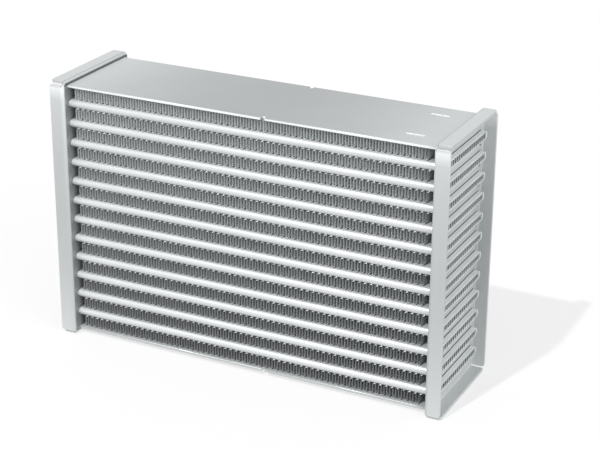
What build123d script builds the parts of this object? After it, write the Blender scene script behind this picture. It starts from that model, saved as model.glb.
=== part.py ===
from build123d import *
import math
import os

# Intercooler core without end tanks: flat charge-air tubes and folded air fins stacked between
# two side plates, with a folded header pan brazed on at each end.
# X runs along the tubes, Y from front to rear, Z up. The origin is at the middle of the
# footprint, on the surface that the core stands on. All sizes are in millimetres.

# Header pans, which also set the overall length
overall_length = 300.0        # from rim to rim
header_flange = 11.3          # flange width, measured over the web
header_sheet = 2.0
header_bend = 0.5             # inside radius of the four folds
header_rise = 3.3             # header above the top plate, and below the bottom one
header_reach = 5.3            # header in front of the tube noses, and behind them

# Charge-air tubes
tube_count = 12
tube_height = 5.7
tube_depth = 75.7             # front nose to rear nose
tube_wall = 0.5
tube_nose_wall = 2.0          # the noses are left thick, against stone chips
tube_projection = 4.1         # tube end past the web, inside the pan
tube_clearance = 0.05         # braze gap round a tube in its slot

# Air fins between the tubes
fin_height = 8.9
fin_sheet = 0.2
fin_waves = 28
fin_setback = 2.0             # fin edges behind the tube noses
fin_end_gap = 4.7             # from the last fold to the web

# Turbulators inside the tubes
turbulator_sheet = 0.2
turbulator_waves = 8
turbulator_side_gap = 0.5     # from the strip's edge to the end of the tube's bore
turbulator_inset = 0.3        # behind the tube's end

# Side plates
side_plate_thickness = 2.0
side_plate_setback = 0.3      # plate edges behind the tube noses
notch_width = 3.0             # expansion notch in the front and rear edges
notch_depth = 3.2
notch_offset = 14.5           # right of the middle
bracket_slot_length = 13.4
bracket_slot_width = 2.2
bracket_slot_inset = 15.2     # from the slot's end to the plate's right end
bracket_slot_spacing = 43.2   # front slot to rear slot

# Worked out from the sizes above
header_depth = tube_depth + 2 * header_reach
stack_height = tube_count * tube_height + (tube_count + 1) * fin_height
header_height = stack_height + 2 * side_plate_thickness + 2 * header_rise
core_length = overall_length - 2 * header_flange
stack_bottom = header_rise + side_plate_thickness
row_pitch = tube_height + fin_height
tube_length = core_length + 2 * (header_sheet + tube_projection)
fold_radius = header_sheet + header_bend
bore_depth = tube_depth - 2 * tube_nose_wall
bore_height = tube_height - 2 * tube_wall
side_plate_depth = tube_depth - 2 * side_plate_setback


def tube_level(row):
    """Height of the middle of a tube, counted from 0 at the bottom."""
    return stack_bottom + fin_height + tube_height / 2 + row * row_pitch


def fin_level(row):
    """Height of the middle of a fin strip, counted from 0 at the bottom."""
    return stack_bottom + fin_height / 2 + row * row_pitch


def folded_strip(span, height, level, waves, sheet):
    """Corners of a sheet folded to and fro about a level, across the middle of the sketch."""
    leg_run = span / (2 * waves)
    # A leaning leg is thicker measured straight up, which leaves less for its rise.
    rise = height - sheet
    for _ in range(20):
        rise = height - sheet * math.hypot(1, rise / leg_run)
    crest = (height - rise) / 2
    folds = [
        (leg_run * i - span / 2, level + (rise / 2 if i % 2 else -rise / 2))
        for i in range(2 * waves + 1)
    ]
    under = [(x, y - crest) for x, y in folds]
    over = [(x, y + crest) for x, y in reversed(folds)]
    return under + over


def finish(piece, name):
    """Labels a sub-part and writes it out under its node's name."""
    piece.part.label = name
    export_step(piece.part, f"parts/{name}.step")


os.makedirs("parts", exist_ok=True)

# Charge-air tubes: extruded flat tubes with full-round noses and a square-ended bore.
for row in range(tube_count):
    left_end = Plane.YZ.offset(-tube_length / 2)
    with BuildPart() as charge_tube:
        with BuildSketch(left_end):
            with Locations((0, tube_level(row))):
                SlotOverall(tube_depth, tube_height)
                Rectangle(bore_depth, bore_height, mode=Mode.SUBTRACT)
        extrude(amount=tube_length)
    finish(charge_tube, f"charge_tube_{row + 1:02d}")

# Turbulators: folded strips that fill the bore of each tube, with crests on both walls.
for row in range(tube_count):
    strip_length = tube_length - 2 * turbulator_inset
    with BuildPart() as turbulator:
        with BuildSketch(Plane.YZ.offset(-strip_length / 2)):
            with BuildLine():
                strip_width = bore_depth - 2 * turbulator_side_gap
                corners = folded_strip(
                    strip_width, bore_height, tube_level(row), turbulator_waves, turbulator_sheet
                )
                Polyline(*corners, close=True)
            make_face()
        extrude(amount=strip_length)
    finish(turbulator, f"turbulator_{row + 1:02d}")

# Air fins: one more strip than there are tubes, with passages from front to rear.
for row in range(tube_count + 1):
    fin_depth = tube_depth - 2 * fin_setback
    with BuildPart() as air_fin:
        with BuildSketch(Plane.XZ.offset(-fin_depth / 2)):
            with BuildLine():
                strip_length = core_length - 2 * fin_end_gap
                corners = folded_strip(strip_length, fin_height, fin_level(row), fin_waves, fin_sheet)
                Polyline(*corners, close=True)
            make_face()
        extrude(amount=fin_depth)
    finish(air_fin, f"air_fin_{row + 1:02d}")

# Side plates: flat plates from web to web, notched at mid-length so that they can stretch.
plate_bottoms = {
    "side_plate_bottom": header_rise,
    "side_plate_top": stack_bottom + stack_height,
}
for name, plate_bottom in plate_bottoms.items():
    with BuildPart() as side_plate:
        with BuildSketch(Plane.XY.offset(plate_bottom)):
            Rectangle(core_length, side_plate_depth)
            with Locations((notch_offset, -side_plate_depth / 2), (notch_offset, side_plate_depth / 2)):
                Rectangle(notch_width, 2 * notch_depth, mode=Mode.SUBTRACT)
            if name == "side_plate_top":
                slot_middle = core_length / 2 - bracket_slot_inset - bracket_slot_length / 2
                with Locations((slot_middle, 0)):
                    with GridLocations(0, bracket_slot_spacing, 1, 2):
                        Rectangle(bracket_slot_length, bracket_slot_width, mode=Mode.SUBTRACT)
        extrude(amount=side_plate_thickness)
    finish(side_plate, name)

# Header pans: web towards the core, flanges turned outward, and corners left open.
for name, side in (("header_left", -1), ("header_right", 1)):
    rim_middle = (side * overall_length / 2, 0, header_height / 2)
    rim = Plane(origin=rim_middle, x_dir=(0, 1, 0), z_dir=(-side, 0, 0))
    inward = Axis(rim_middle, (-side, 0, 0))
    with BuildPart() as header:
        with BuildSketch(rim):
            Rectangle(header_depth, header_height)
        extrude(amount=header_flange)
        fillet(header.faces().sort_by(inward)[-1].edges(), radius=fold_radius)
        offset(amount=-header_sheet, openings=header.faces().sort_by(inward)[0])
        with BuildSketch(rim):
            with GridLocations(header_depth - fold_radius, header_height - fold_radius, 2, 2):
                Rectangle(fold_radius, fold_radius)
            with GridLocations(0, row_pitch, 1, tube_count):
                SlotOverall(tube_depth + 2 * tube_clearance, tube_height + 2 * tube_clearance)
        extrude(amount=header_flange, mode=Mode.SUBTRACT)
    finish(header, name)
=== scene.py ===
import math
import random

import bmesh
import bpy
from mathutils import Matrix, Vector


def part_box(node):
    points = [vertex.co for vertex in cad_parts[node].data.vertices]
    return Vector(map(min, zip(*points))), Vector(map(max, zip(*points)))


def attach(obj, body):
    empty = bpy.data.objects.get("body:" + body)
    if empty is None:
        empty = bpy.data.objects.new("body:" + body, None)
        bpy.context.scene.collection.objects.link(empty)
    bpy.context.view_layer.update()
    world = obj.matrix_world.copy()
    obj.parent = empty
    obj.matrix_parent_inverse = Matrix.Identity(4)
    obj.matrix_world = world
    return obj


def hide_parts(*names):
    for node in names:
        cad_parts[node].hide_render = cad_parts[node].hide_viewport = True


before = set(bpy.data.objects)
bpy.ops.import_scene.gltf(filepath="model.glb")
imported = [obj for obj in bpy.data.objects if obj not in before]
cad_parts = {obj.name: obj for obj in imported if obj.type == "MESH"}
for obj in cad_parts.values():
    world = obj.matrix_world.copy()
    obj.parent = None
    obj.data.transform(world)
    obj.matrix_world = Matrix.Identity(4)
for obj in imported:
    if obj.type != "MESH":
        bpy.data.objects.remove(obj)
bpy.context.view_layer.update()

# An intercooler core without end tanks. Lengths are in metres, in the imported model's frame:
# X along the tubes, Y from front to rear, Z up.
MM = 0.001

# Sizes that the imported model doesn't state
SHEET = 2.0 * MM              # header pan
FOLD_RADIUS = 2.5 * MM        # outside of the pan's folds
RIM_CORNER = 2.0 * MM         # corners of the pan's flanges
HEADER_EDGE = 0.25 * MM       # rounding along the pan's cut edges
SLOT_GROOVE = 0.3 * MM        # seam seen round each tube in the pan's web
SLOT_EDGE = 0.08 * MM
WEB_HOLE = 2.2 * MM           # small hole near the rear end of each gap between tubes
WEB_HOLE_INSET = 7.0 * MM     # from the pan's outside

PLATE_EDGE = 0.45 * MM
NOTCH_WIDTH = 3.0 * MM
NOTCH_DEPTH = 3.2 * MM
NOTCH_OFFSET = 14.5 * MM
BRACKET_SLOT = (13.4 * MM, 2.2 * MM)
BRACKET_SLOT_INSET = 15.2 * MM
BRACKET_SLOT_SPACING = 43.2 * MM

TUBE_WALL = 0.5 * MM
TUBE_NOSE_WALL = 2.0 * MM
TUBE_EDGE = 0.12 * MM
BORE_CORNER = 0.7 * MM

FIN_FOIL = 0.16 * MM
FIN_LEGS = 125
FIN_WANDER = 0.08 * MM        # of a leg, either way from an even pitch
FIN_SEED = 40
TURBULATOR_FOIL = 0.4 * MM
TURBULATOR_LEGS = 38
TURBULATOR_WANDER = 0.06 * MM
TURBULATOR_SEED = 80
TURBULATOR_PINCH = 0.35 * MM

BEAD = (1.2 * MM, 0.8 * MM, 0.37 * MM)      # half its width, depth and height
BEAD_SIZES = (0.75, 1.1)      # smallest and largest share of those
BEAD_REACH = 0.3 * MM         # its middle, out from the fin's face
BEAD_SINK = 0.8               # its middle below the tube, as a share of half its height
BEAD_SHIFT = 0.4              # its middle beside the crest, as a share of the fin's pitch
BEAD_WANDER = 0.15 * MM
BEAD_LEAN = math.radians(35)
BEAD_SEED = 140

# How finely curves are drawn, and what counts as a flat or as one point
ARC_STEPS = 8                 # facets in a quarter turn
WEB_HOLE_STEPS = 4            # the same in the web's small holes
EDGE_STEPS = 3                # facets in a rounded corner of a cut edge
FLAT_NORMAL = 0.9999          # a normal this close to an axis belongs to a flat
WELD = 0.001 * MM             # points nearer than this become one

# What all the metal finishes share
CLOUD_SCALE = 28.0            # clouds per metre
CLOUD_SHARE = 0.6             # of the mottle, whose rest is grain
PAINTED_SHEEN = (0.35, 0.8)           # shares of the mottle and of the nearness to a piece's ends, in the painted sheen
PAINTED_LIGHT_LIFT = (0.3, 0.8)             # shares of the mottle and of the height, in the painted light that rises up the core
PAINTED_FACE_RAMPS = (18, 90)          # how fast the painted highlight and shade on front and rear faces start and stop with height
PAINTED_SHADE_RAMP = 400              # how fast a band of painted shade starts with height
BAND_RAMP = 5 / MM            # how fast a band starts and stops along the core
GLOSS_WEAR = 0.1              # spread of the roughness
GRAIN_DEPTH = 0.01 * MM
GRAIN_STRENGTH = 0.3

CAMERA_PLACE = (499.6 * MM, -965.9 * MM, 550.9 * MM)
CAMERA_AZIMUTH = math.radians(26.202)
CAMERA_ELEVATION = math.radians(22.599)
CAMERA_ROLL = math.radians(0.387)
CAMERA_LENS = 100.5
CAMERA_NEAR = 0.05

SKY_LIGHT = 0.63
KEY_LAMP = (1.95, 1.5, (0.145, 0.59, -0.795))     # strength, spread in degrees, travel
FILL_LAMP = (1.45, 50, (-0.85, 0.42, -0.25))
FLOOR_HALF = 6.0              # from the floor's middle to its edges
FLOOR_SHARE = 0.26            # of the floor's brightness that follows the light
FLOOR_GLOW = 0.69
FLOOR_BOUNCE = 0.35           # the floor's shade as soft light sees it


def nodes_of(kind):
    """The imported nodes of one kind, from the floor up."""
    return sorted(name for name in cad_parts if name.startswith(kind))


TUBES = nodes_of("charge_tube_")
FINS = nodes_of("air_fin_")
TURBULATORS = nodes_of("turbulator_")
# The web's outer face and the tubes' ends, as distances from the core's middle
WEB_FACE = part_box("header_right")[0].x + SHEET
TUBE_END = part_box(TUBES[0])[1].x


class Tap:
    """One output of a finish's nodes, which takes part in plain sums."""

    def __init__(self, finish, socket):
        self.finish = finish
        self.socket = socket

    def sum(self, operation, first, second):
        settings = {"operation": operation}
        return self.finish.node("ShaderNodeMath", settings, {0: first, 1: second})

    def __add__(self, other):
        return self.sum("ADD", self, other)

    def __radd__(self, other):
        return self.sum("ADD", other, self)

    def __sub__(self, other):
        return self.sum("SUBTRACT", self, other)

    def __rsub__(self, other):
        return self.sum("SUBTRACT", other, self)

    def __mul__(self, other):
        return self.sum("MULTIPLY", self, other)

    def __rmul__(self, other):
        return self.sum("MULTIPLY", other, self)


class Finish:
    """The node tree of one material, or of the world."""

    def __init__(self, tree):
        self.tree = tree
        self.tree.nodes.clear()

    def node(self, kind, settings=None, inputs=None, output=0):
        """Adds a node, sets it, feeds its sockets and gives one of its outputs."""
        made = self.tree.nodes.new(kind)
        for name, value in (settings or {}).items():
            setattr(made, name, value)
        for name, value in (inputs or {}).items():
            if isinstance(value, Tap):
                self.tree.links.new(value.socket, made.inputs[name])
            else:
                made.inputs[name].default_value = value
        return Tap(self, made.outputs[output]) if made.outputs else None

    def clamp(self, value):
        return self.node("ShaderNodeClamp", None, {"Value": value})

    def size(self, value):
        return self.node("ShaderNodeMath", {"operation": "ABSOLUTE"}, {0: value})

    def part(self, vector, axis):
        """The X, Y or Z of a vector, for an axis of 0, 1 or 2."""
        return self.node("ShaderNodeSeparateXYZ", None, {0: vector}, output=axis)

    def blend(self, share, first, second):
        """Mixes two colours."""
        inputs = {"Factor": share, 6: first, 7: second}
        return self.node("ShaderNodeMix", {"data_type": "RGBA"}, inputs, output=2)


def new_finish(name):
    """A new material, and the finish that its nodes make."""
    material = bpy.data.materials.new(name)
    material.use_nodes = True
    return material, Finish(material.node_tree)


def grey(level, tint=0.035):
    """A faintly cool grey."""
    return (level * (1 - tint), level, level * (1 + tint / 4), 1)


def metal_finish(
    name, light, dark, metallic, roughness, grain_scale,
    painted_sheen_axis=None, painted_light_height=None, cut=None, ends=None, painted_shades=(),
):
    """Bare aluminium: cloudy shade, fine rolling grain, and a little wear in the gloss.

    Light and dark are the two shades of its mottle. The grain scale is in counts per metre: few
    along the rolling direction, many across it.

    Along an axis (0 for X, 2 for Z), painted sheen whitens the metal towards both ends of its
    piece.
    Given a height, painted light takes the metal from dark at the floor to light at that height.
    Cut is a shade painted on the front and rear faces between two shares of the piece's height: a
    painted highlight where it is light, painted shade where it is dark. Ends is a distance from the
    middle and the painted light beyond it. A band of painted shade lies at each end of the core:
    its distance from the middle, half its width, its shade, and the share of the height it starts
    at.
    """
    material, finish = new_finish(name)
    place = finish.node("ShaderNodeTexCoord", output=3)
    cloud_inputs = {"Vector": place, "Scale": CLOUD_SCALE, "Detail": 3.0}
    clouds = finish.node("ShaderNodeTexNoise", None, cloud_inputs)
    grain_place = finish.node("ShaderNodeMapping", None, {"Vector": place, "Scale": grain_scale})
    grain_inputs = {"Vector": grain_place, "Scale": 1.0, "Detail": 4.0}
    grain = finish.node("ShaderNodeTexNoise", None, grain_inputs)
    mottle = clouds * CLOUD_SHARE + grain * (1 - CLOUD_SHARE)
    share = mottle
    box_place = finish.node("ShaderNodeTexCoord", output=0)
    height = finish.part(box_place, 2)
    from_centre = finish.size(finish.part(place, 0))
    # Painted sheen: whiter towards both ends of the piece
    if painted_sheen_axis is not None:
        from_middle = finish.size(finish.part(box_place, painted_sheen_axis) * 2 - 1)
        share = finish.clamp(mottle * PAINTED_SHEEN[0] + from_middle * from_middle * PAINTED_SHEEN[1])
    # Painted light: darker at the floor, lighter up to the given height
    if painted_light_height is not None:
        share = finish.clamp(mottle * PAINTED_LIGHT_LIFT[0] + finish.part(place, 2) * (PAINTED_LIGHT_LIFT[1] / painted_light_height))
    colour = finish.blend(share, grey(dark), grey(light))
    # Painted highlight and painted shade on the front and rear faces, between two shares of the
    # height
    if cut is not None:
        shade, start, stop = cut
        facing = finish.part(finish.node("ShaderNodeTexCoord", output=1), 1)
        above = finish.clamp((height - start) * PAINTED_FACE_RAMPS[0])
        below = finish.clamp((stop - height) * PAINTED_FACE_RAMPS[1])
        colour = finish.blend(finish.clamp(above * below * facing * facing), colour, grey(shade))
    # Painted light beyond a distance from the middle
    if ends is not None:
        distance, shade = ends
        beyond = finish.clamp((from_centre - distance) * BAND_RAMP)
        colour = finish.blend(beyond, colour, grey(shade))
    # Dark bands of painted shade at each end of the core
    for distance, half, shade, start in painted_shades:
        band = finish.clamp((half - finish.size(from_centre - distance)) * BAND_RAMP)
        above = finish.clamp((height - start) * PAINTED_SHADE_RAMP)
        colour = finish.blend(band * above, colour, grey(shade))
    bump_inputs = {"Strength": GRAIN_STRENGTH, "Distance": GRAIN_DEPTH, "Height": grain}
    shader_inputs = {
        "Base Color": colour,
        "Metallic": metallic,
        "Roughness": roughness - GLOSS_WEAR / 2 + GLOSS_WEAR * mottle,
        "Normal": finish.node("ShaderNodeBump", None, bump_inputs),
    }
    shader = finish.node("ShaderNodeBsdfPrincipled", None, shader_inputs)
    finish.node("ShaderNodeOutputMaterial", None, {"Surface": shader})
    return material


PAN_FINISH = metal_finish(
    # Painted sheen towards the pan's top and bottom
    "folded_pan_sheet", 0.68, 0.51, 0.3, 0.45, (900, 900, 60), painted_sheen_axis=2,
    # Painted highlight on the front and rear faces near the top
    cut=(0.95, 0.93, 0.985),
    painted_shades=(
        (WEB_FACE, 20 * MM, 0.55, 0.99),                # painted shade on the outer face of the top flange
        (WEB_FACE - SHEET, 0.2 * MM, 0.32, -1),         # painted shade on the web's side towards the core
        (WEB_FACE - 0.4 * MM, 0.28 * MM, 0.18, 0.98),   # two lines of painted shade along the upper fold
        (WEB_FACE - SHEET, 0.25 * MM, 0.12, 0.98),
    ),
)
# Painted sheen towards the plate's ends, and a painted highlight on its front and rear faces
PLATE_FINISH = metal_finish(
    "side_plate_sheet", 0.56, 0.34, 0.3, 0.55, (60, 900, 900), painted_sheen_axis=0, cut=(0.95, -1, 2),
)
# A lighter copy of the side plates' sheet, as painted light, with painted sheen towards its ends
# and painted shade on its front and rear faces
LOWER_PLATE_FINISH = metal_finish(
    "lower_plate_sheet", 0.76, 0.68, 0.4, 0.34, (60, 900, 900), painted_sheen_axis=0, cut=(0.58, -1, 2),
)
TUBE_FINISH = metal_finish(
    "extruded_tube", 0.74, 0.66, 0.3, 0.34, (20, 1500, 1500),
    # Painted light on the tube ends beyond the web's outer face
    ends=(WEB_FACE + 0.4 * MM, 0.92),
    # A band of painted shade where the tube meets the web's outer face
    painted_shades=((WEB_FACE, 0.5 * MM, 0.1, -1),),
)
# Painted shade: a near-black finish on the walls of the web's slots and holes
SLOT_SHADE_FINISH = metal_finish("slot_painted_shade", 0.16, 0.10, 0.1, 0.6, (500, 500, 500))
# Painted light that rises up the core, and painted shade on the foil's front and rear faces
FIN_FINISH = metal_finish(
    "fin_foil", 0.80, 0.28, 0.1, 0.6, (500, 500, 200), painted_light_height=0.19, cut=(0.22, -1, 2),
)
BEAD_FINISH = metal_finish("braze_bead", 0.86, 0.80, 0.2, 0.3, (500, 500, 500))
# Painted shade: a near-black foil for the shade inside the tubes, with painted light near the tube
# ends
TURBULATOR_SHADE_FINISH = metal_finish(
    "turbulator_foil", 0.10, 0.08, 0.2, 0.42, (200, 500, 500), ends=(TUBE_END - 0.5 * MM, 0.8),
)


def new_piece(name, made, materials, slot, *nodes):
    """Puts a mesh in the scene as one piece of the core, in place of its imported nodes.

    Faces square to an axis are shaded as flats, and all others as parts of a curve.
    """
    bmesh.ops.remove_doubles(made, verts=made.verts, dist=WELD)
    bmesh.ops.recalc_face_normals(made, faces=made.faces)
    for face in made.faces:
        face.smooth = max(abs(part) for part in face.normal) < FLAT_NORMAL
    mesh = bpy.data.meshes.new(name)
    made.to_mesh(mesh)
    made.free()
    piece = bpy.data.objects.new(name, mesh)
    bpy.context.scene.collection.objects.link(piece)
    for material in materials:
        piece.data.materials.append(material)
    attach(piece, "root")
    if nodes:
        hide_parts(*nodes)
    return piece


def arc(centre, radius, start, end, steps):
    """Points on an arc in a plane, between two angles in degrees."""
    angles = [math.radians(start + (end - start) * i / steps) for i in range(steps + 1)]
    return [(centre[0] + radius * math.cos(a), centre[1] + radius * math.sin(a)) for a in angles]


def round_box(centre, width, height, radius, steps=ARC_STEPS):
    """Outline of a rectangle with round corners, anticlockwise from its upper right corner."""
    dx, dy = width / 2 - radius, height / 2 - radius
    outline = []
    for quarter, (sx, sy) in enumerate(((1, 1), (-1, 1), (-1, -1), (1, -1))):
        corner = (centre[0] + sx * dx, centre[1] + sy * dy)
        outline += arc(corner, radius, 90 * quarter, 90 * quarter + 90, steps)
    return outline


def round_edge(radius, depth):
    """Steps over a sheet's cut edge with both its corners rounded, as (inset, depth) pairs."""
    turns = [math.pi / 2 * i / EDGE_STEPS for i in range(EDGE_STEPS + 1)]
    upper = [(radius * (1 - math.sin(a)), radius * (1 - math.cos(a))) for a in turns]
    return upper + [(back, depth - level) for back, level in reversed(upper)]


def inset(outline, distance):
    """Moves a closed outline to its left, where the sheet is."""
    moved = []
    for i, point in enumerate(outline):
        here, before, after = (Vector(outline[k]) for k in (i, i - 1, (i + 1) % len(outline)))
        run_in, run_out = (here - before).normalized(), (after - here).normalized()
        left_in, left_out = Vector((-run_in.y, run_in.x)), Vector((-run_out.y, run_out.x))
        moved.append(here + (left_in + left_out) * distance / (1 + left_in.dot(left_out)))
    return moved


def join(made, rings, closed=True, finish=0):
    """Lays faces between each closed ring of points and the next one.

    Finish is the number of their material among the piece's materials.
    """
    for one, two in zip(rings, rings[1:] + rings[:1] if closed else rings[1:]):
        for i in range(len(one)):
            made.faces.new((one[i - 1], one[i], two[i], two[i - 1])).material_index = finish


def fill(made, rings):
    """Fills a flat between its outer ring of points and the rings round its holes."""
    edges = []
    for ring in rings:
        for i in range(len(ring)):
            pair = (ring[i - 1], ring[i])
            edges.append(made.edges.get(pair) or made.edges.new(pair))
    bmesh.ops.triangle_fill(made, use_beauty=True, use_dissolve=False, edges=edges)


def folded_foil(span, height, legs, foil, wander, seed, pinch=0):
    """The two faces of a foil folded with full-round crests, as (across, up) points.

    Its legs wander a little from an even pitch, and pinch narrows the lower crests.
    """
    chance = random.Random(seed)
    pitch = span / legs
    radius = pitch / 2
    shift = [chance.uniform(-wander, wander) + pinch * (-1, 1)[i % 2] for i in range(legs + 1)]
    shift[0] = shift[-1] = 0
    left = [(-span / 2 - foil / 2, -height / 2)]
    right = [(-span / 2 + foil / 2, -height / 2)]
    for i in range(legs):
        up = 1 if i % 2 == 0 else -1
        centre_up = up * (height / 2 - foil / 2 - radius)
        start = (i * pitch - span / 2) + shift[i]
        end = ((i + 1) * pitch - span / 2) + shift[i + 1]
        middle, reach = (start + end) / 2, (end - start) / 2
        for step in range(ARC_STEPS + 1):
            turn = math.pi * (1 - step / ARC_STEPS)
            across, rise = math.cos(turn), up * math.sin(turn)
            for side, line in ((up, left), (-up, right)):
                thick = side * foil / 2
                spot = (middle + (reach + thick) * across, centre_up + (radius + thick) * rise)
                line.append(spot)
    last_up = -height / 2 if legs % 2 == 0 else height / 2
    left.append((span / 2 - foil / 2, last_up))
    right.append((span / 2 + foil / 2, last_up))
    return left, right


def draw_foil(left, right, place, near, far):
    """A folded foil drawn out from near to far; place turns (across, up, along) into a point."""
    made = bmesh.new()
    outline = left + right[::-1]
    ends = [[made.verts.new(place(*point, along)) for point in outline] for along in (near, far)]
    join(made, ends, closed=False)
    for end in ends:
        for i in range(len(left) - 1):
            made.faces.new((end[i], end[i + 1], end[-2 - i], end[-1 - i]))
    return made


def make_air_fin(number, node):
    """A folded strip between two tubes, with its passages from front to rear."""
    low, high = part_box(node)
    level = (low.z + high.z) / 2
    middle = (low.x + high.x) / 2
    span = high.x - low.x - FIN_FOIL
    height = high.z - low.z
    left, right = folded_foil(span, height, FIN_LEGS, FIN_FOIL, FIN_WANDER, FIN_SEED + number)

    def place(across, up, along):
        return (middle + across, along, level + up)

    made = draw_foil(left, right, place, low.y, high.y)
    new_piece(f"air_fin_foil_{number:02d}", made, [FIN_FINISH], "fin_aluminium", node)


def make_braze_beads():
    """Brazing metal that has run together under each tube, beside the upper crests of the fins."""
    ball = bmesh.new()
    bmesh.ops.create_icosphere(ball, subdivisions=2, radius=1)
    spots = [vert.co.copy() for vert in ball.verts]
    facets = [[vert.index for vert in face.verts] for face in ball.faces]
    ball.free()
    chance = random.Random(BEAD_SEED)
    made = bmesh.new()
    for node in FINS[:-1]:
        low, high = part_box(node)
        span = high.x - low.x - FIN_FOIL
        pitch = span / FIN_LEGS
        for crest in range(0, FIN_LEGS, 2):
            for face, side in ((low.y, -1), (high.y, 1)):
                half = Vector(BEAD) * chance.uniform(*BEAD_SIZES)
                crest_place = (low.x + high.x - span) / 2 + (crest + 0.5) * pitch
                across = crest_place - side * BEAD_SHIFT * pitch
                across += chance.uniform(-BEAD_WANDER, BEAD_WANDER)
                centre = Vector((across, face + side * BEAD_REACH, high.z - half.z * BEAD_SINK))
                place = Matrix.Translation(centre) @ Matrix.Rotation(side * BEAD_LEAN, 4, "Y")
                place = place @ Matrix.Diagonal((*half, 1))
                verts = [made.verts.new(place @ spot) for spot in spots]
                for facet in facets:
                    made.faces.new([verts[i] for i in facet])
    new_piece("tube_braze_beads", made, [BEAD_FINISH], "fin_aluminium")


def make_turbulator(number, node):
    """A folded strip inside a tube, with its passages along it."""
    low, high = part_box(node)
    level = (low.z + high.z) / 2
    middle = (low.y + high.y) / 2
    span = high.y - low.y - TURBULATOR_FOIL
    height = high.z - low.z
    left, right = folded_foil(
        span, height, TURBULATOR_LEGS, TURBULATOR_FOIL,
        TURBULATOR_WANDER, TURBULATOR_SEED + number, TURBULATOR_PINCH,
    )

    def place(across, up, along):
        return (along, middle + across, level + up)

    made = draw_foil(left, right, place, low.x, high.x)
    new_piece(f"turbulator_foil_{number:02d}", made, [TURBULATOR_SHADE_FINISH], "fin_aluminium", node)


def make_tube(number, node):
    """A flat tube with round noses and one bore."""
    low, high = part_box(node)
    centre = ((low.y + high.y) / 2, (low.z + high.z) / 2)
    depth, height = high.y - low.y, high.z - low.z
    outer = round_box(centre, depth, height, height / 2 - WELD)
    bore = round_box(centre, depth - 2 * TUBE_NOSE_WALL, height - 2 * TUBE_WALL, BORE_CORNER)
    made = bmesh.new()
    rings = []
    for outline, sign in ((outer, 1), (bore, -1)):
        for back, level in round_edge(TUBE_EDGE, high.x - low.x)[::sign]:
            x = low.x + level
            ring = [made.verts.new((x, y, z)) for y, z in inset(outline, sign * back)]
            rings.append(ring)
    join(made, rings)
    new_piece(f"tube_{number:02d}", made, [TUBE_FINISH], "tube_aluminium", node)


def plate_outlines(low, high, slotted):
    """A side plate's outside, with a notch front and rear, and then its bracket slots."""
    notch_x = (low.x + high.x) / 2 + NOTCH_OFFSET
    turn = NOTCH_WIDTH / 2
    left, right = notch_x - turn, notch_x + turn
    front = arc((notch_x, low.y + NOTCH_DEPTH - turn), turn, 180, 0, 2 * ARC_STEPS)
    rear = arc((notch_x, high.y - NOTCH_DEPTH + turn), turn, 0, -180, 2 * ARC_STEPS)
    outlines = [[
        (low.x, low.y), (left, low.y), *front, (right, low.y), (high.x, low.y),
        (high.x, high.y), (right, high.y), *rear, (left, high.y), (low.x, high.y),
    ]]
    if slotted:
        length, width = BRACKET_SLOT
        slot_x = high.x - BRACKET_SLOT_INSET - length / 2
        for side in (-1, 1):
            centre = (slot_x, side * BRACKET_SLOT_SPACING / 2)
            outlines.append(round_box(centre, length, width, width / 3)[::-1])
    return outlines


def make_side_plate(name, node, finish, slotted):
    """A flat plate above or below the stack, with its cut edges rounded."""
    low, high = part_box(node)
    made = bmesh.new()
    flats = ([], [])
    for outline in plate_outlines(low, high, slotted):
        rings = []
        for back, level in round_edge(PLATE_EDGE, high.z - low.z):
            z = high.z - level
            rings.append([made.verts.new((x, y, z)) for x, y in inset(outline, back)])
        join(made, rings, closed=False)
        flats[0].append(rings[0])
        flats[1].append(rings[-1])
    for flat in flats:
        fill(made, flat)
    new_piece(name, made, [finish], "sheet_aluminium", node)


def web_openings(rear):
    """Outlines of the pan's tube slots, and of the small holes near its rear, in Y and Z."""
    outlines = []
    for tube in TUBES:
        low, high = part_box(tube)
        depth = high.y - low.y + 2 * SLOT_GROOVE
        height = high.z - low.z + 2 * SLOT_GROOVE
        centre = ((low.y + high.y) / 2, (low.z + high.z) / 2)
        outlines.append(round_box(centre, depth, height, height / 2 - WELD)[::-1])
    radius = WEB_HOLE / 2 - WELD
    for fin in FINS:
        low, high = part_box(fin)
        centre = (rear - WEB_HOLE_INSET, (low.z + high.z) / 2)
        outlines.append(round_box(centre, WEB_HOLE, WEB_HOLE, radius, WEB_HOLE_STEPS)[::-1])
    return outlines


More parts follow.
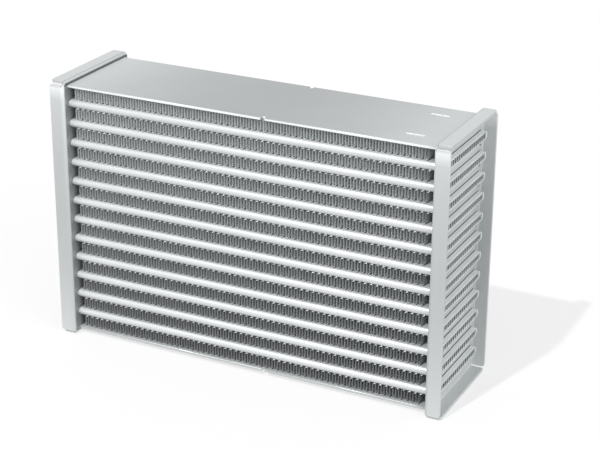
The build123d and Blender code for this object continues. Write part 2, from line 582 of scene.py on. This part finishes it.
def make_header(name, node, side):
    """A pan folded from a flat blank, with its web towards the core; side is -1 or 1."""
    low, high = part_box(node)
    rim_x = low.x if side < 0 else high.x
    web_x = high.x if side < 0 else low.x
    near, far = low.y + FOLD_RADIUS, high.y - FOLD_RADIUS
    bottom, top = low.z + FOLD_RADIUS, high.z - FOLD_RADIUS
    fold_run = FOLD_RADIUS * math.pi / 2
    reach = fold_run + abs(rim_x - web_x) - FOLD_RADIUS
    corners = [Vector(spot) for spot in ((near, bottom), (far, bottom), (far, top), (near, top))]

    def fold(start, along, out, run, past, depth):
        """Where a point of the blank goes: run along a side of the web, and past its fold line."""
        turn = min(max(past, 0) / FOLD_RADIUS, math.pi / 2)
        outward = min(past, 0) + (FOLD_RADIUS - depth) * math.sin(turn)
        back = FOLD_RADIUS - (FOLD_RADIUS - depth) * math.cos(turn) + max(past - fold_run, 0)
        spot = start + along * run + out * outward
        return (web_x + side * back, spot.x, spot.y)

    made = bmesh.new()
    edge_rings, strips, flanges, webs = [], [], [], []
    stations = [fold_run * i / ARC_STEPS for i in range(ARC_STEPS + 1)]
    # One ring round the whole blank for each step over its edge, and its points sorted by the
    # folds, flanges and web that they bound
    for back, depth in round_edge(HEADER_EDGE, SHEET):
        ring, strip, flange, web = [], [], [], []
        for i, start in enumerate(corners):
            end = corners[(i + 1) % 4]
            along = (end - start).normalized()
            out = Vector((along.y, -along.x))
            length = (end - start).length

            def point(run, past):
                return made.verts.new(fold(start, along, out, run, past, depth))

            up = [point(back, past) for past in stations]
            turn_past = reach - RIM_CORNER
            radius = RIM_CORNER - back
            rim = arc((RIM_CORNER, turn_past), radius, 180, 90, ARC_STEPS)
            rim += arc((length - RIM_CORNER, turn_past), radius, 90, 0, ARC_STEPS)
            over = [point(*spot) for spot in rim]
            down = [point(length - back, past) for past in stations]
            inner = point(length - back, -back)
            ring += [*up, *over, *down[::-1], inner]
            strip.append((up, down))
            flange.append([up[-1], *over, down[-1]])
            web += [up[0], down[0], inner]
        edge_rings.append(ring)
        strips.append(strip)
        flanges.append(flange)
        webs.append([web])
    join(made, edge_rings, closed=False)

    # Slots and holes through the web
    for opening in web_openings(high.y):
        rings = []
        for back, depth in round_edge(SLOT_EDGE, SHEET):
            x = web_x + side * depth
            rings.append([made.verts.new((x, y, z)) for y, z in inset(opening, back)])
        # The walls of these openings take the second finish, a painted shade
        join(made, rings, closed=False, finish=1)
        webs[0].append(rings[0])
        webs[-1].append(rings[-1])

    # The outer and inner face of the sheet
    for face in (0, -1):
        for up, down in strips[face]:
            for i in range(ARC_STEPS):
                made.faces.new((up[i], up[i + 1], down[i + 1], down[i]))
        for outline in flanges[face]:
            made.faces.new(outline)
        fill(made, webs[face])
    new_piece(name, made, [PAN_FINISH, SLOT_SHADE_FINISH], "sheet_aluminium", node)


def make_camera():
    """The camera, in front of the core and to its right."""
    data = bpy.data.cameras.new("camera")
    data.lens = CAMERA_LENS
    data.clip_start = CAMERA_NEAR
    camera = bpy.data.objects.new("camera", data)
    bpy.context.scene.collection.objects.link(camera)
    aim = Matrix.Rotation(CAMERA_AZIMUTH, 4, "Z")
    aim = aim @ Matrix.Rotation(math.pi / 2 - CAMERA_ELEVATION, 4, "X")
    aim = aim @ Matrix.Rotation(CAMERA_ROLL, 4, "Z")
    camera.matrix_world = Matrix.Translation(Vector(CAMERA_PLACE)) @ aim
    bpy.context.scene.camera = camera


def seen_rays(finish):
    """1 on rays that come straight from the camera or off gloss and glass, 0 on soft light."""
    rays = [finish.node("ShaderNodeLightPath", output=kind) for kind in (0, 3, 6)]
    return finish.clamp(rays[0] + rays[1] + rays[2])


def make_floor():
    """A white sweep. Where it is seen it glows a little, so that the shadow on it stays pale."""
    corners = [(x * FLOOR_HALF, y * FLOOR_HALF, 0) for x, y in ((-1, -1), (1, -1), (1, 1), (-1, 1))]
    mesh = bpy.data.meshes.new("floor")
    mesh.from_pydata(corners, [], [(0, 1, 2, 3)])
    floor = bpy.data.objects.new("floor", mesh)
    bpy.context.scene.collection.objects.link(floor)
    material, finish = new_finish("white_sweep")
    soft = finish.node("ShaderNodeBsdfDiffuse", None, {"Color": grey(FLOOR_SHARE, 0)})
    glow = finish.node("ShaderNodeEmission", None, {"Color": grey(1, 0), "Strength": FLOOR_GLOW})
    seen = finish.node("ShaderNodeAddShader", None, {0: soft, 1: glow})
    plain = finish.node("ShaderNodeBsdfDiffuse", None, {"Color": grey(FLOOR_BOUNCE, 0)})
    surface = finish.node("ShaderNodeMixShader", None, {0: seen_rays(finish), 1: plain, 2: seen})
    finish.node("ShaderNodeOutputMaterial", None, {"Surface": surface})
    floor.data.materials.append(material)


def make_world():
    """White behind the core, and a plain soft light on it."""
    world = bpy.data.worlds.new("studio")
    world.use_nodes = True
    bpy.context.scene.world = world
    finish = Finish(world.node_tree)
    light = finish.node("ShaderNodeBackground", None, {"Color": grey(1, 0), "Strength": SKY_LIGHT})
    white = finish.node("ShaderNodeBackground", None, {"Color": grey(1, 0), "Strength": 1.0})
    surface = finish.node("ShaderNodeMixShader", None, {0: seen_rays(finish), 1: light, 2: white})
    finish.node("ShaderNodeOutputWorld", None, {"Surface": surface})


def make_lamp(name, strength, spread, travel):
    """A far lamp; its light travels that way, and spread is how wide it looks, in degrees."""
    data = bpy.data.lights.new(name, "SUN")
    data.energy = strength
    data.angle = math.radians(spread)
    lamp = bpy.data.objects.new(name, data)
    bpy.context.scene.collection.objects.link(lamp)
    lamp.rotation_euler = Vector(travel).to_track_quat("-Z", "Y").to_euler()


for number, node in enumerate(FINS, 1):
    make_air_fin(number, node)
make_braze_beads()
for number, node in enumerate(TURBULATORS, 1):
    make_turbulator(number, node)
for number, node in enumerate(TUBES, 1):
    make_tube(number, node)
make_side_plate("upper_side_plate", "side_plate_top", PLATE_FINISH, True)
make_side_plate("lower_side_plate", "side_plate_bottom", LOWER_PLATE_FINISH, False)
make_header("left_header_pan", "header_left", -1)
make_header("right_header_pan", "header_right", 1)

make_camera()
make_floor()
make_world()
make_lamp("key", *KEY_LAMP)
make_lamp("side_fill", *FILL_LAMP)
bpy.context.scene.view_settings.view_transform = "Standard"
